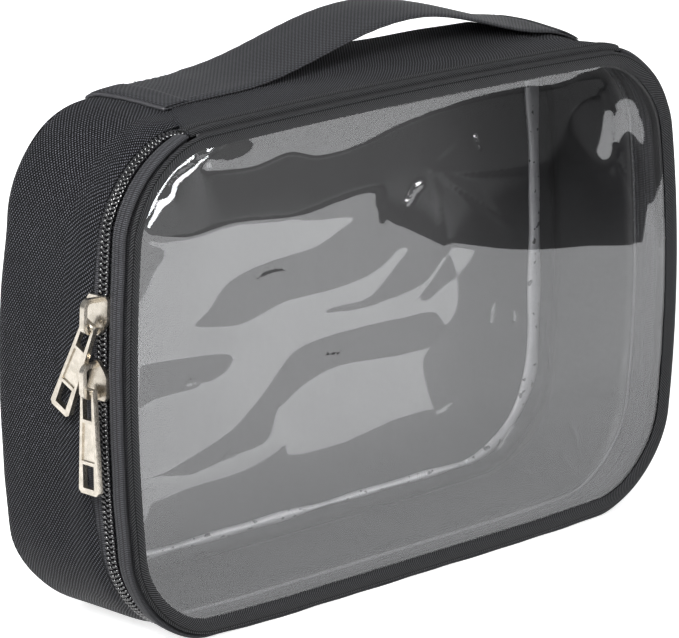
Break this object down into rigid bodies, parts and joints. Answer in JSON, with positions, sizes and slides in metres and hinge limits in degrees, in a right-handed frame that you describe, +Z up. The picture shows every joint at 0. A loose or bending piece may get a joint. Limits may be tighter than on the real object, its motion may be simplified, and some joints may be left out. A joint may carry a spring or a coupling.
{
  "type": "makeup bag",
  "caption": "Padded fabric makeup case with a clear front lid that zips round three sides, and a webbing handle on top.",
  "frame": {"origin": "middle of the flat face that the bag stands on, between its two short sides and under the middle of its depth", "axes": "+X to the right along the long side, +Y from the clear lid to the back panel, +Z up to the handle"},
  "size_m": [0.2443, 0.0555, 0.1672],
  "materials": {
    "oxford": "black woven Oxford polyester with a dotted plain weave",
    "webbing": "black ribbed polyester webbing",
    "herringbone": "black herringbone tape",
    "tape": "black ribbed zipper and seam tape",
    "coil": "shiny black nylon coil",
    "clear_sheet": "clear glossy flexible vinyl with soft creases",
    "nickel": "warm bright nickel plating",
    "lining": "black woven lining",
    "foam": "grey closed-cell foam",
    "thread": "black polyester sewing thread"
  },
  "bodies": {
    "case": {"gusset": "oxford", "gusset_foam": "foam", "gusset_lining": "lining", "top_panel": "oxford", "top_foam": "foam", "top_lining": "lining", "back_panel": "oxford", "back_foam": "foam", "back_lining": "lining", "back_seam_binding": "tape", "hinge_tape": "herringbone", "handle_strap": "webbing", "handle_hems": "webbing", "handle_stitching": "thread", "rear_zipper_tape": "tape", "rear_zipper_coil": "coil"},
    "lid": {"window_sheet": "clear_sheet", "face_binding": "herringbone", "lid_seam_binding": "tape", "front_zipper_tape": "tape", "front_zipper_coil": "coil"},
    "upper_slider": {"upper_slider_body": "nickel", "upper_slider_bridge": "nickel"},
    "upper_pull": {"upper_pull": "nickel"},
    "lower_slider": {"lower_slider_body": "nickel", "lower_slider_bridge": "nickel"},
    "lower_pull": {"lower_pull": "nickel"}
  },
  "joints": [
    {"name": "lid_hinge", "type": "hinge", "parent": "case", "child": "lid", "pos_m": [0, -0.0265, 0.155], "axis": [-1, 0, 0], "range_deg": [0, 170]},
    {"name": "upper_slider_travel", "type": "hinge", "parent": "case", "child": "upper_slider", "pos_m": [0.28279, -0.0164, 0.0769], "axis": [0, 1, 0], "range_deg": [0, 2.1]},
    {"name": "lower_slider_travel", "type": "hinge", "parent": "case", "child": "lower_slider", "pos_m": [0.28279, -0.0164, 0.0769], "axis": [0, -1, 0], "range_deg": [0, 5.6]},
    {"name": "upper_pull_swing", "type": "hinge", "parent": "upper_slider", "child": "upper_pull", "pos_m": [-0.12173, -0.0164, 0.10027], "axis": [0, 0.8988, 0.4384], "range_deg": [0, 95]},
    {"name": "lower_pull_swing", "type": "hinge", "parent": "lower_slider", "child": "lower_pull", "pos_m": [-0.12239, -0.0164, 0.08076], "axis": [0, 1, 0], "range_deg": [0, 150]}
  ]
}
